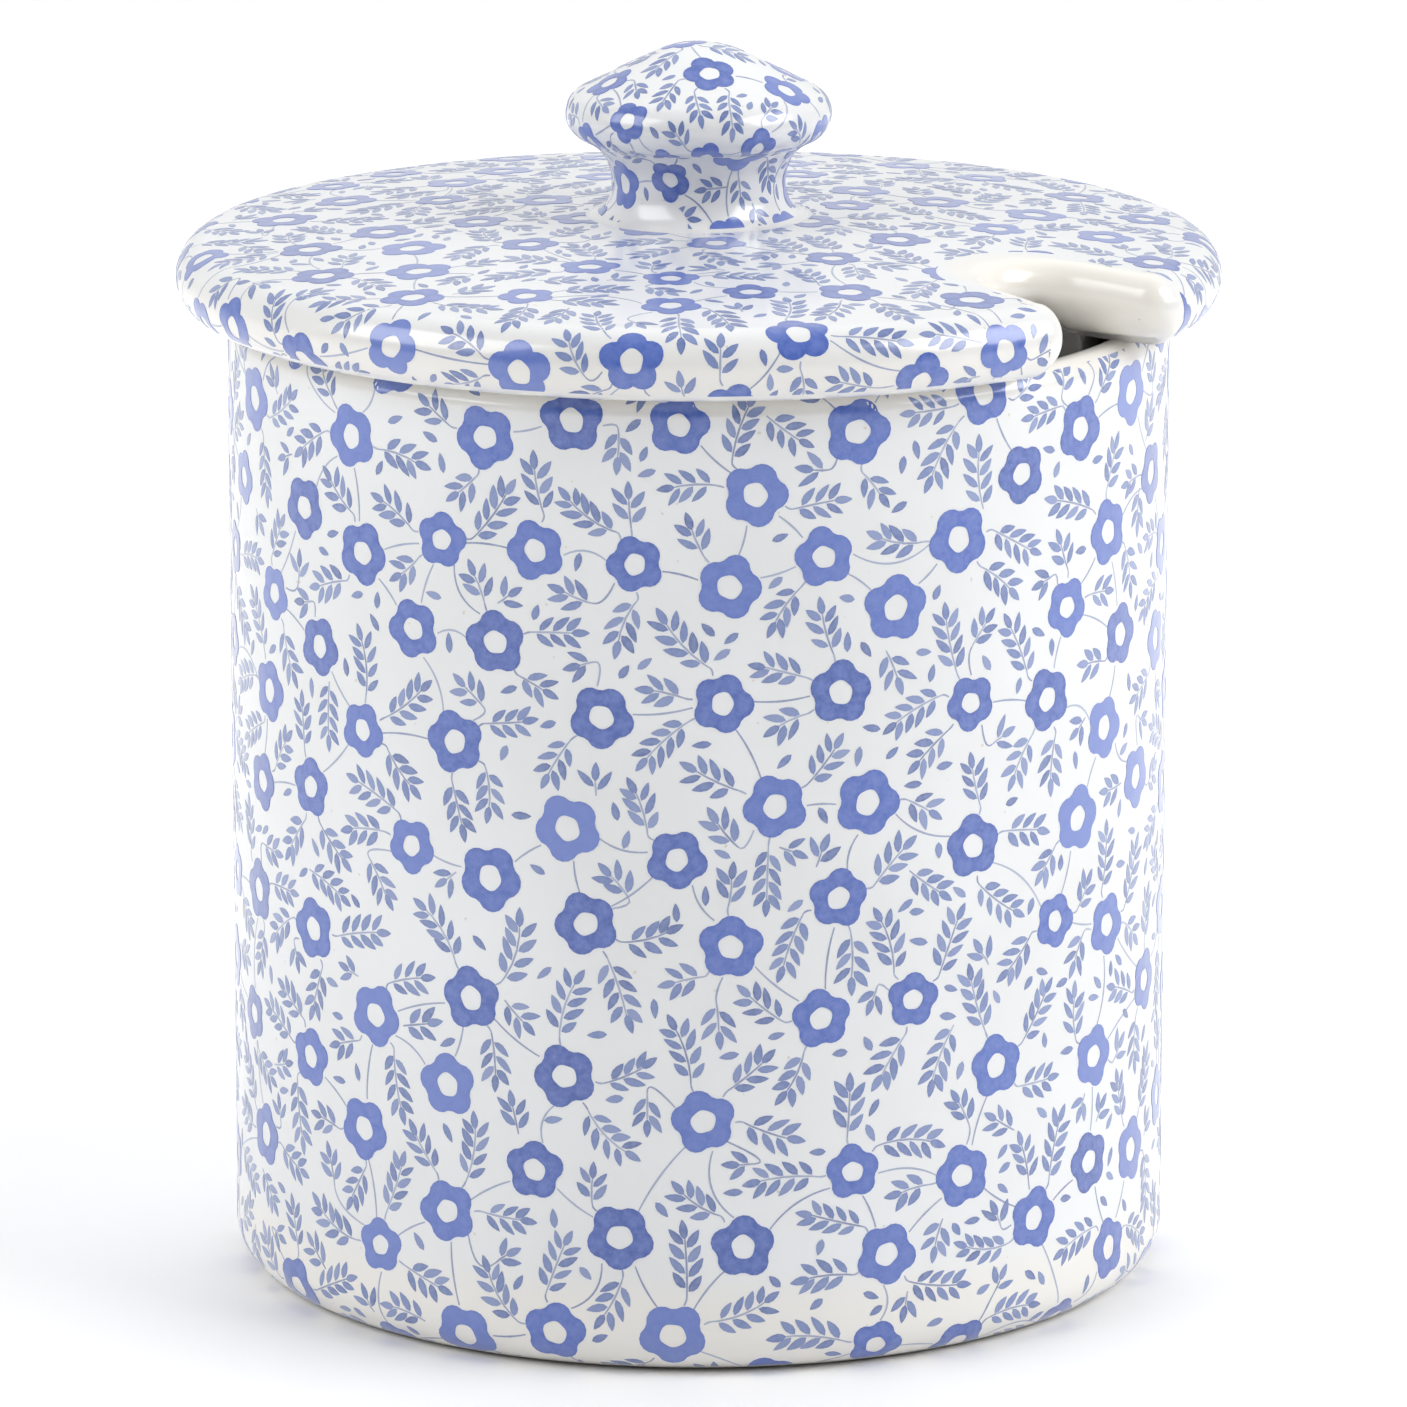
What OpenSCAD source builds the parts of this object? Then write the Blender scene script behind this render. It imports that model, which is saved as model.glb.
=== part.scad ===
// Lidded preserve pot in glazed earthenware.
// A straight round jar, a loose lid with a locating flange and a spoon notch,
// and a hollow finger knob luted onto the lid's flat crown.
// +Z is up, the origin is the centre of the foot, and the spoon notch faces +X.
// Sizes are in millimetres.

/* [Jar] */
// Outside diameter of the jar
jar_d = 88.5; // [84:0.5:90]
// Height of the jar, from its foot to the top of its rim
jar_h = 91.6; // [75:0.2:110]
// Thickness of the jar's wall
wall_t = 4.2; // [3.6:0.1:5]
// Thickness of the jar's floor, above the hollow under the foot
floor_t = 4.6; // [3.5:0.1:7]
// Radius of the outside corner between the wall and the foot
foot_corner = 4; // [2:0.5:5]
// Radius of the inside corner between the wall and the floor
inside_corner = 6; // [3:0.5:9]
// Width of the ring that the jar stands on
foot_ring_w = 4.5; // [3:0.5:8]
// Depth of the hollow inside the foot ring
foot_hollow = 1.2; // [0.8:0.1:2]
// Radius of the rounding on both sides of the rim
rim_round = 1.9; // [1:0.1:1.9]

/* [Lid] */
// Outside diameter of the lid
lid_d = 98; // [96:0.5:104]
// Thickness of the lid's rounded edge
edge_t = 6.7; // [5.5:0.1:8]
// Rise of the lid's dome above its edge
dome_rise = 2.1; // [1:0.1:6]
// Thickness of the lid inside the flange
plate_t = 5; // [4:0.1:6]
// Gap between the lid and the rim that it rests on
rest_gap = 0.1; // [0.05:0.05:0.3]
// Play between the flange and the jar's inside, on each side
flange_play = 1.4; // [0.8:0.1:2]
// Thickness of the locating flange
flange_t = 3.4; // [2.5:0.1:4]
// Depth of the locating flange below the lid's underside
flange_h = 6.5; // [4:0.5:10]
// Diameter of the vent hole under the knob
vent_d = 3; // [2:0.5:3.5]

/* [Spoon notch] */
// Distance from the lid's axis to the notch's inner end
notch_reach = 34.7; // [33:0.1:38]
// Width of the notch's round inner end
notch_w = 11.2; // [10:0.2:13]
// Angle at which each side of the notch opens outwards
notch_flare = 13; // [8:1:15]
// Radius of the notch's two corners at the lid's edge
notch_corner = 3; // [1.5:0.5:4]

/* [Knob] */
// Widest diameter of the knob
knob_d = 25; // [22:0.2:27]
// Height of the knob above the lid's crown
knob_h = 16.2; // [14:0.2:18]
// Radius of the knob's domed top
knob_top_r = 10; // [8:0.5:12]
// Radius of the knob's rounded edge
knob_roll = 2.5; // [2:0.1:3]
// Depth of the knob's widest circle below its top
knob_brow = 6.6; // [6.2:0.1:7]
// Narrowest diameter of the neck
neck_d = 16.2; // [14:0.2:18]
// Height of the neck's narrowest circle above the lid's crown
neck_h = 3.1; // [2.5:0.1:3.6]
// Thickness of the knob's wall
knob_wall = 4; // [3:0.1:4.5]

/* [Hidden] */

// ivory glaze, made cooler by the small blue print all over it
printed_glaze = [0.87, 0.88, 0.92];

round_fn = 120;      // facets of a full turn
arc_n = 10;          // steps along one rounded corner
slack = 1;           // overshoot of a cutting solid
crown_margin = 1.8;  // how far the lid's flat crown is wider than the neck

jar_r = jar_d / 2;
bore_r = jar_r - wall_t;
ring_out_r = jar_r - foot_corner;
ring_in_r = ring_out_r - foot_ring_w;
floor_z = foot_hollow + floor_t;

lid_r = lid_d / 2;
under_z = jar_h + rest_gap;
roll_r = edge_t / 2;
roll_x = lid_r - roll_r;
roll_z = under_z + roll_r;
dome_top_z = under_z + edge_t + dome_rise;
// the dome's sphere is tangent to the edge's roll, with its centre on the axis
dome_reach = dome_top_z - roll_r - roll_z;
dome_r = (pow(roll_x, 2) + pow(dome_reach, 2)) / (2 * dome_reach) + roll_r;
dome_z = dome_top_z - dome_r;
dome_edge = atan2(roll_z - dome_z, roll_x);
flange_out_r = bore_r - flange_play;
flange_in_r = flange_out_r - flange_t;
flange_z = under_z - flange_h;
flange_round = flange_t / 3;

// the notch's sides touch its round inner end and flare outwards from it
notch_r = notch_w / 2;
notch_x = notch_reach + notch_r;
notch_turn = notch_flare
  + asin((notch_corner + notch_r - notch_x * sin(notch_flare)) / (lid_r - notch_corner));
notch_corner_x = (lid_r - notch_corner) * cos(notch_turn);
notch_corner_y = (lid_r - notch_corner) * sin(notch_turn);

knob_r = knob_d / 2;
neck_r = neck_d / 2;
crown_r = neck_r + crown_margin;
crown_z = dome_z + sqrt(pow(dome_r, 2) - pow(crown_r, 2));
brow_x = knob_r - knob_roll;
brow_z = knob_h - knob_brow;
// the neck's hollow curve is tangent to the knob's rolled edge
neck_drop = brow_z - neck_h;
neck_curve = (pow(neck_r - brow_x, 2) + pow(neck_drop, 2) - pow(knob_roll, 2))
  / (2 * (knob_roll + brow_x - neck_r));
neck_x = neck_r + neck_curve;
neck_meet = atan2(neck_drop, brow_x - neck_x);
neck_foot = 180 + asin(neck_h / neck_curve);
// a straight flank is tangent to the knob's domed top and to its rolled edge
top_z = knob_h - knob_top_r;
flank_turn = atan2(brow_z - top_z, brow_x)
  + acos((knob_top_r - knob_roll) / norm([brow_x, brow_z - top_z]));
hollow_neck_r = neck_r - knob_wall;
hollow_head_r = knob_r - knob_wall;

// points along an arc about [x, z], from angle a to angle b
function arc(x, z, r, a, b, n = arc_n) =
  [for (i = [0:n]) let (t = a + (b - a) * i / n) [x + r * cos(t), z + r * sin(t)]];

// a solid turned from an outline in the plane of radius and height
module turned(outline) {
  rotate_extrude($fn = round_fn) polygon(outline);
}

function jar_outline() = concat(
  [[0, foot_hollow], [ring_in_r - foot_hollow, foot_hollow], [ring_in_r, 0]],
  arc(ring_out_r, foot_corner, foot_corner, -90, 0),
  arc(jar_r - rim_round, jar_h - rim_round, rim_round, 0, 90),
  arc(bore_r + rim_round, jar_h - rim_round, rim_round, 90, 180),
  arc(bore_r - inside_corner, floor_z + inside_corner, inside_corner, 0, -90),
  [[0, floor_z]]
);

function lid_outline() = concat(
  [[0, crown_z - plate_t], [flange_in_r, dome_z + sqrt(pow(dome_r, 2) - pow(flange_in_r, 2)) - plate_t]],
  arc(flange_in_r + flange_round, flange_z + flange_round, flange_round, 180, 270),
  arc(flange_out_r - flange_round, flange_z + flange_round, flange_round, 270, 360),
  [[flange_out_r, under_z]],
  arc(roll_x, roll_z, roll_r, -90, dome_edge, 2 * arc_n),
  arc(0, dome_z, dome_r, dome_edge, acos(crown_r / dome_r)),
  [[0, crown_z]]
);

// the notch seen from above, opening towards +X and running out past the lid's edge
function notch_side() = concat(
  arc(notch_x, 0, notch_r, 180, 90 + notch_flare),
  arc(notch_corner_x, notch_corner_y, notch_corner, notch_flare - 90, notch_turn),
  [[lid_r + slack, notch_corner_y + notch_corner * sin(notch_turn)]]
);

module notch_shape() {
  side = notch_side();
  polygon(concat(side, [for (i = [len(side) - 1:-1:1]) [side[i][0], -side[i][1]]]));
}

function knob_outline() = concat(
  [[0, 0]],
  arc(neck_x, neck_h, neck_curve, neck_foot, neck_meet),
  arc(brow_x, brow_z, knob_roll, neck_meet - 180, flank_turn),
  arc(0, top_z, knob_top_r, flank_turn, 90)
);

function knob_hollow_outline() = [
  [0, -slack],
  [hollow_neck_r, -slack],
  [hollow_neck_r, neck_h],
  [hollow_head_r, brow_z - knob_roll / 2],
  [hollow_head_r, brow_z],
  [0, knob_h - knob_wall],
];

module jar() {
  color(printed_glaze) turned(jar_outline());
}

module lid() {
  color(printed_glaze) difference() {
    turned(lid_outline());
    translate([0, 0, flange_z - slack])
      linear_extrude(dome_top_z - flange_z + 2 * slack) notch_shape();
    translate([0, 0, flange_z])
      cylinder(d = vent_d, h = dome_top_z - flange_z + slack, $fn = round_fn);
  }
}

module knob() {
  color(printed_glaze) translate([0, 0, crown_z]) difference() {
    turned(knob_outline());
    turned(knob_hollow_outline());
  }
}

jar();
lid();
knob();
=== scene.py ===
"""The looks of a lidded preserve pot: glazed earthenware with a small blue flower print.

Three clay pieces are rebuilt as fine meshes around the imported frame: the jar, the lid with its rolled edge,
flange and spoon notch, and the luted knob. The print is laid out here from a seeded random scatter of
five-petalled flowers, leafy sprigs and thin stems. Every motif is a thin slab of glazed ink that follows the
clay. Lengths are in millimetres until a mesh is made.
"""

import math
import random

import bmesh
import bpy
import numpy as np
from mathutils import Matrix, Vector


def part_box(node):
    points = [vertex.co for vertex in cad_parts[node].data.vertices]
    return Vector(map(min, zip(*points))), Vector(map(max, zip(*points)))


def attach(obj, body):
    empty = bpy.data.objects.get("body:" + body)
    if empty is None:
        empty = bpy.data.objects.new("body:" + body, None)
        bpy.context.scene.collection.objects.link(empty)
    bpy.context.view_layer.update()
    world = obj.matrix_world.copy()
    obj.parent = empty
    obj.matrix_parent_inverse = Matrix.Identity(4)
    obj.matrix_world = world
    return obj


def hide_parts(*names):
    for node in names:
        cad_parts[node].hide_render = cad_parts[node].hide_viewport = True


MM = 0.001
TAU = 2 * math.pi
SEED = 11
# Degrees from the camera's side of the pot to -Y. The lamps and the surround are placed from it.
CAMERA_SIDE = 37

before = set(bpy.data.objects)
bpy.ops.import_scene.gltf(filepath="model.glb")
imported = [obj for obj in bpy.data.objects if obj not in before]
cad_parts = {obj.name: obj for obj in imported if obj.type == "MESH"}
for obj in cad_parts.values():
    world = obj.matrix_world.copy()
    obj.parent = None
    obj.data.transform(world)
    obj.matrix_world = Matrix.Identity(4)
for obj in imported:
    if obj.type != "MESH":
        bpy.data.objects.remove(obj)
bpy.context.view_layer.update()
jar_box, lid_box, knob_box = ([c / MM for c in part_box(n)] for n in ("jar", "lid", "knob"))

# The clay stays this far inside the CAD box, so that the print's thickness stays inside it too.
SKIN = 0.06

# Jar
JAR_R = min(jar_box[1].x, jar_box[1].y) - SKIN
JAR_H = jar_box[1].z
WALL = 4.2
FLOOR_Z = 5.8
FOOT_CORNER = 4.0
FOOT_RING = 4.5
FOOT_HOLLOW = 1.2
INSIDE_CORNER = 6.0
RIM_ROUND = 1.9
STILT = 0.06
BORE_R = JAR_R - WALL

# Lid
LID_R = lid_box[1].y - SKIN
EDGE_T = 6.7
DOME_RISE = 2.1
PLATE = 5.0
FLANGE_H = 6.5
FLANGE_OUT = BORE_R - 1.4
FLANGE_IN = FLANGE_OUT - 3.4
UNDER_Z = lid_box[0].z + FLANGE_H
ROLL = EDGE_T / 2
CROWN_R = 9.9
VENT_R = 1.5

# Spoon notch, which opens towards +X
NOTCH_R = 5.6
NOTCH_X = 40.3
NOTCH_FLARE = math.radians(13)
NOTCH_CORNER = 3.0
NOTCH_LIP = 2.2
NOTCH_EASE = 0.85

# Knob
KNOB_FOOT = knob_box[0].z
KNOB_R = knob_box[1].x - SKIN
KNOB_TOP = knob_box[1].z - SKIN
KNOB_TOP_R = 10.0
KNOB_ROLL = 2.5
KNOB_BROW = 6.6
NECK_R = 8.1
NECK_H = 3.1
KNOB_WALL = 4.0
FILLET_TOP = 0.9
FILLET_FOOT = -0.09

# Print: sizes of the motifs and how they are spread
FLOWER_R = 3.0
FLOWER_GAP = 8.6
KNOB_SCALE = 0.84
KNOB_GAP = 6.4
LEAF_LENGTH = 2.1
LEAF_WIDTH = 0.8
SPRIG_STEP = 1.34
STEM_WIDTH = 0.2
SPARE = 3.0
BARE_TURN = -80
INK_SINK = 0.1
INK_PROUD = {"stems": 0.016, "leaves": 0.026, "loose_leaves": 0.026, "flowers": 0.036}
SHEET_CELL = 0.15
# How finely a print is cut: points along a petal's edge, bands across it, and a stem's longest stretch
JAR_FINE = (7, 3, 0.5)
LID_FINE = (8, 4, 0.45)
KNOB_FINE = (8, 5, 0.35)


def smooth(low, high, x):
    """0 below low, 1 above high and an even S between them."""
    t = np.clip((x - low) / (high - low), 0, 1)
    return t * t * (3 - 2 * t)


def srgb(code):
    """A hex colour as linear red, green, blue and alpha."""
    parts = [int(code[i : i + 2], 16) / 255 for i in (1, 3, 5)]
    linear = [c / 12.92 if c <= 0.04045 else ((c + 0.055) / 1.055) ** 2.4 for c in parts]
    return (*linear, 1.0)


def arc(x, z, r, start, end, steps=12):
    """Points along an arc about (x, z), with its angles in degrees."""
    turn = np.radians(np.linspace(start, end, steps + 1))
    return np.stack([x + r * np.cos(turn), z + r * np.sin(turn)], axis=1)


def add_object(name, data):
    thing = bpy.data.objects.new(name, data)
    bpy.context.scene.collection.objects.link(thing)
    return thing


def outline(*parts):
    """One outline from arcs and points, without repeated points."""
    line = np.concatenate([np.atleast_2d(p) for p in parts]).astype(float)
    keep = np.ones(len(line), bool)
    keep[1:] = np.linalg.norm(np.diff(line, axis=0), axis=1) > 1e-6
    return line[keep]


def finer(line, step):
    """The outline with points added, so that none of its stretches is longer than step."""
    out = [line[:1]]
    for a, b in zip(line[:-1], line[1:]):
        n = max(1, math.ceil(np.linalg.norm(b - a) / step))
        out.append(a + (b - a) * np.linspace(0, 1, n + 1)[1:, None])
    return np.concatenate(out)


# -------- materials


def new_material(name, colour, roughness, coat):
    """A principled material with plain socket values, the node tree to add to, and its shader."""
    material = bpy.data.materials.new(name)
    material.use_nodes = True
    tree = material.node_tree
    shader = tree.nodes["Principled BSDF"]
    shader.inputs["Base Color"].default_value = colour
    shader.inputs["Roughness"].default_value = roughness
    shader.inputs["IOR"].default_value = 1.5
    shader.inputs["Coat Weight"].default_value = coat
    shader.inputs["Coat Roughness"].default_value = 0.14
    shader.inputs["Coat IOR"].default_value = 1.52
    return material, tree, shader


def noise(tree, scale, detail=3.0, roughness=0.5):
    """Noise in the pot's own space: scale is in waves per metre."""
    place = tree.nodes.new("ShaderNodeTexCoord")
    texture = tree.nodes.new("ShaderNodeTexNoise")
    texture.inputs["Scale"].default_value = scale
    texture.inputs["Detail"].default_value = detail
    texture.inputs["Roughness"].default_value = roughness
    tree.links.new(place.outputs["Object"], texture.inputs["Vector"])
    return texture.outputs["Fac"]


def ramp(tree, value, stops):
    """A colour ramp: stops are (place, colour)."""
    node = tree.nodes.new("ShaderNodeValToRGB")
    elements = node.color_ramp.elements
    elements[0].position, elements[0].color = stops[0]
    elements[1].position, elements[1].color = stops[-1]
    for place, colour in stops[1:-1]:
        elements.new(place).color = colour
    tree.links.new(value, node.inputs["Fac"])
    return node.outputs["Color"]


def mix(tree, share, a, b):
    """Colour a with that share of colour b. Each may be a socket or a colour."""
    node = tree.nodes.new("ShaderNodeMix")
    node.data_type = "RGBA"
    for value, socket in ((share, "Factor"), (a, "A"), (b, "B")):
        wanted = next(s for s in node.inputs if s.name == socket and s.enabled)
        if isinstance(value, bpy.types.NodeSocket):
            tree.links.new(value, wanted)
        else:
            wanted.default_value = value
    return next(s for s in node.outputs if s.enabled)


def attribute(tree, name):
    """The value that each vertex carries under that name."""
    node = tree.nodes.new("ShaderNodeAttribute")
    node.attribute_name = name
    return node.outputs["Fac"]


def scaled(tree, value, factor, added=0.0):
    """The value times a factor, plus what is added, kept between 0 and 1."""
    node = tree.nodes.new("ShaderNodeMath")
    node.operation = "MULTIPLY_ADD"
    tree.links.new(value, node.inputs[0])
    node.inputs[1].default_value = factor
    node.inputs[2].default_value = added
    node.use_clamp = True
    return node.outputs["Value"]


def bump(tree, height, strength, distance, under=None):
    """A normal that follows the height, whose full step is that distance in metres."""
    node = tree.nodes.new("ShaderNodeBump")
    node.inputs["Strength"].default_value = strength
    node.inputs["Distance"].default_value = distance
    tree.links.new(height, node.inputs["Height"])
    if under:
        tree.links.new(under, node.inputs["Normal"])
    return node.outputs["Normal"]


def glaze_surface(tree, shader):
    """The faint orange peel and slow waves of a fired glaze, as bump on clay and coat alike."""
    peel = bump(tree, noise(tree, 900, 2.0), 0.12, 0.00006)
    waves = bump(tree, noise(tree, 120, 1.5), 0.25, 0.0002, peel)
    tree.links.new(waves, shader.inputs["Normal"])
    tree.links.new(waves, shader.inputs["Coat Normal"])


def glaze_material():
    """Ivory clay under a clear glaze, warmer where the glaze pools and with a few fine specks. The pooled
    colour is also lighter than the glaze: painted light that brightens the notch's lips and wall and the
    other pooled places.
    """
    material, tree, shader = new_material("glaze", srgb("#E3E4E5"), 0.38, 1.0)
    whites = [(0.3, srgb("#DEDFDF")), (0.52, srgb("#E3E4E5")), (0.75, srgb("#E7E9EB"))]
    clouds = ramp(tree, noise(tree, 38, 4.0), whites)
    # Pooled glaze: a warmer cream, also painted lighter to stand in for light on the notch's lips and wall.
    pooled_and_painted_light = mix(tree, attribute(tree, "pool_and_painted_light"), clouds, srgb("#EBE7DF"))
    rare = [(0.12, (1, 1, 1, 1)), (0.14, (0, 0, 0, 1))]
    specks = ramp(tree, noise(tree, 1500, 0.0), rare)
    tree.links.new(mix(tree, specks, pooled_and_painted_light, srgb("#D3CDC0")), shader.inputs["Base Color"])
    rough = scaled(tree, noise(tree, 260), 0.2, 0.28)
    tree.links.new(rough, shader.inputs["Roughness"])
    glaze_surface(tree, shader)
    return material


def ink_material(name, pale, full, deep):
    """Cobalt print under the glaze: each motif has its own strength, and the ink is patchy inside it."""
    material, tree, shader = new_material(name, srgb(full), 0.36, 1.0)
    stops = [(0.0, srgb(pale)), (0.55, srgb(full)), (1.0, srgb(deep))]
    tone = ramp(tree, attribute(tree, "tone"), stops)
    patches = scaled(tree, noise(tree, 1700, 4.0, 0.62), 1.7, -0.62)
    patchy = mix(tree, patches, tone, srgb(pale))
    heart = scaled(tree, attribute(tree, "heart"), 0.42)
    tree.links.new(mix(tree, heart, patchy, srgb(pale)), shader.inputs["Base Color"])
    rough = scaled(tree, noise(tree, 600, 2.0), 0.14, 0.27)
    tree.links.new(rough, shader.inputs["Roughness"])
    glaze_surface(tree, shader)
    return material


def clay_material():
    """Bare biscuit where the kiln's stilts stood: matte, sandy and a little uneven."""
    material, tree, shader = new_material("clay", srgb("#CDBFA4"), 0.85, 0.0)
    sands = [(0.3, srgb("#C0B296")), (0.7, srgb("#DFD5C0"))]
    grain = ramp(tree, noise(tree, 3200, 4.0, 0.7), sands)
    tree.links.new(grain, shader.inputs["Base Color"])
    sand = bump(tree, noise(tree, 4200), 0.5, 0.0001)
    tree.links.new(sand, shader.inputs["Normal"])
    return material


# -------- clay pieces


def jar_wave(turn, z):
    """How far the hand-finished wall lies inside a true cylinder, never outside it."""
    slow = np.sin(2 * turn + 0.7) + 0.7 * np.sin(3 * turn - 0.045 * z)
    quick = 0.5 * np.sin(5 * turn + 0.09 * z + 1.1) + 0.4 * np.sin(0.16 * z + 2 * turn)
    return 0.022 * (slow + quick) - 0.06


def lid_wave(x, y):
    """How far the lid's dome dips from a true sphere. It is even under the knob."""
    wave = np.sin(0.085 * x + 0.6) + np.sin(0.11 * y - 0.05 * x) + 0.5 * np.sin(0.2 * x + 0.17 * y)
    return 0.03 * wave * smooth(CROWN_R + 1, CROWN_R + 8, np.hypot(x, y)) - 0.075


def jar_shift(turn, z):
    """The wall's waviness, faded out towards the foot and the rim."""
    return jar_wave(turn, z) * smooth(2, 9, z) * (1 - smooth(JAR_H - 5, JAR_H - 1, z))


def jar_outside():
    """The jar's outline from the foot ring up to the top of its rim."""
    ring = JAR_R - FOOT_CORNER
    return outline(
        arc(ring, FOOT_CORNER + STILT, FOOT_CORNER, -90, 0, 14),
        arc(JAR_R - RIM_ROUND, JAR_H - RIM_ROUND, RIM_ROUND, 0, 90),
    )


def jar_inside():
    """The jar's outline from the top of its rim down to the middle of its floor."""
    return outline(
        arc(BORE_R + RIM_ROUND, JAR_H - RIM_ROUND, RIM_ROUND, 90, 180),
        arc(BORE_R - INSIDE_CORNER, FLOOR_Z + INSIDE_CORNER, INSIDE_CORNER, 0, -90),
        (0, FLOOR_Z),
    )


def jar_underneath():
    """The outline from the middle of the underside to the foot ring."""
    inner = JAR_R - FOOT_CORNER - FOOT_RING
    return outline(
        (0, FOOT_HOLLOW),
        arc(inner - FOOT_HOLLOW, 0, FOOT_HOLLOW, 90, 12, 6),
        arc(inner + 0.9, STILT + 0.5, 0.5, 225, 270, 4),
    )


def dome(r):
    """Height of the lid's dome at that radius: a sphere tangent to the rolled edge."""
    radius = ((LID_R - ROLL) ** 2 + DOME_RISE**2) / (2 * DOME_RISE) + ROLL
    return UNDER_Z + EDGE_T + DOME_RISE - radius + np.sqrt(radius**2 - r**2)


def knob_outside():
    """The knob's outline from the middle of its top down to its foot: a domed top, a straight flank, a rolled
    edge, a hollow neck and the slip fillet, each tangent to the next."""
    roll_x = KNOB_R - KNOB_ROLL
    roll_z = KNOB_TOP - KNOB_FOOT - KNOB_BROW
    top_z = KNOB_TOP - KNOB_FOOT - KNOB_TOP_R
    apart = math.hypot(roll_x, roll_z - top_z)
    flank = math.degrees(math.atan2(roll_z - top_z, roll_x) + math.acos((KNOB_TOP_R - KNOB_ROLL) / apart))
    neck = ((NECK_R - roll_x) ** 2 + (roll_z - NECK_H) ** 2 - KNOB_ROLL**2) / (2 * (KNOB_R - NECK_R))
    hollow_x = NECK_R + neck
    turn = math.degrees(math.atan2(roll_z - NECK_H, roll_x - hollow_x))
    start = math.asin((NECK_H - FILLET_TOP) / neck)
    foot = 180 + math.degrees(start)
    fillet = (FILLET_TOP - FILLET_FOOT) / (1 - math.sin(start))
    lift = np.array([0, KNOB_FOOT])
    line = outline(
        arc(0, top_z, KNOB_TOP_R, 90, flank, 10),
        arc(roll_x, roll_z, KNOB_ROLL, flank, turn - 180, 18),
        arc(hollow_x, NECK_H, neck, turn, foot, 22),
    )
    centre = line[-1] + fillet * np.array([math.cos(start), math.sin(start)])
    slip = arc(centre[0], centre[1], fillet, foot, 270, 8)
    return outline(line, slip[1:], slip[-1] + (0.05, -0.3)) + lift


def knob_inside():
    """The knob's hollow, from its foot to the middle of its roof."""
    neck, head = NECK_R - KNOB_WALL, KNOB_R - KNOB_WALL
    brow = KNOB_TOP - KNOB_FOOT - KNOB_BROW
    roof = brow + KNOB_BROW - KNOB_WALL
    line = outline((neck, 0), (neck, NECK_H), (head, brow - KNOB_ROLL / 2), (head, brow), (0, roof))
    return line + np.array([0, KNOB_FOOT])


def grid_faces(rows, columns):
    """Quads between each row and the next, where the last column meets the first."""
    a = np.arange(rows - 1)[:, None] * columns + np.arange(columns)[None, :]
    b = np.arange(rows - 1)[:, None] * columns + (np.arange(columns)[None, :] + 1) % columns
    return np.stack([a, b, b + columns, a + columns], axis=-1).reshape(-1, 4)


def clean_mesh(name, points, faces, values=()):
    """An object from points in millimetres, with doubled points merged and its normals outward."""
    mesh = bpy.data.meshes.new(name)
    mesh.from_pydata((points * MM).tolist(), [], [list(map(int, face)) for face in faces])
    for key, value in values:
        mesh.attributes.new(key, "FLOAT", "POINT").data.foreach_set("value", np.asarray(value, np.float32))
    work = bmesh.new()
    work.from_mesh(mesh)
    bmesh.ops.remove_doubles(work, verts=work.verts, dist=1e-7)
    bmesh.ops.recalc_face_normals(work, faces=work.faces)
    work.to_mesh(mesh)
    work.free()
    mesh.shade_smooth()
    return add_object(name, mesh)


def turned(name, line, columns, shift, pool_and_painted_light):
    """A closed solid turned from an outline that starts and ends on the axis. The shift is how far each point
    moves out, and the pool is how much the glaze pools along the outline, which also sets the painted
    brightening."""
    turn = np.arange(columns) * TAU / columns
    r = line[:, :1] + (shift(turn[None, :], line[:, 1:]) if shift else 0) * (line[:, :1] > 1)
    r = np.broadcast_to(r, (len(line), columns))
    z = np.broadcast_to(line[:, 1:], r.shape)
    points = np.stack([r * np.cos(turn), r * np.sin(turn), z], axis=-1).reshape(-1, 3)
    pooled_and_painted_light = np.broadcast_to(pool_and_painted_light(line)[:, None], r.shape).reshape(-1)
    return clean_mesh(name, points, grid_faces(len(line), columns), [("pool_and_painted_light", pooled_and_painted_light)])


def make_jar(material):
    """The jar: foot ring, straight wall, rounded rim and plain inside."""
    line = outline(jar_underneath(), finer(jar_outside(), 1.1), finer(jar_inside(), 3.5))

    # Glaze pooling at the rim, the foot and the inside corner; the pooled colour also carries painted
    # brightening.
    def pool_and_painted_light(line):
        r, z = line[:, 0], line[:, 1]
        rim = smooth(JAR_H - 2.6, JAR_H - 0.6, z)
        foot = 0.5 * (1 - smooth(0.4, 2.8, z))
        corner = (1 - smooth(FLOOR_Z, FLOOR_Z + 5, z)) * smooth(22, 38, r)
        return 0.75 * np.maximum(np.maximum(rim, foot), corner)

    jar = turned("jar_body", line, 420, jar_shift, pool_and_painted_light)
    jar.data.materials.append(material)
    return jar


def make_knob(material):
    """The knob: domed top, rolled edge, hollow neck and the slip fillet where it is luted on."""
    line = outline(finer(knob_outside(), 0.8), knob_inside())

    # Glaze pooling at the knob's foot; the pooled colour also carries painted brightening.
    def pool_and_painted_light(line):
        return 0.4 * (1 - smooth(KNOB_FOOT, KNOB_FOOT + 1.2, line[:, 1]))

    knob = turned("knob_body", line, 160, None, pool_and_painted_light)
    knob.data.materials.append(material)
    return knob


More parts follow.
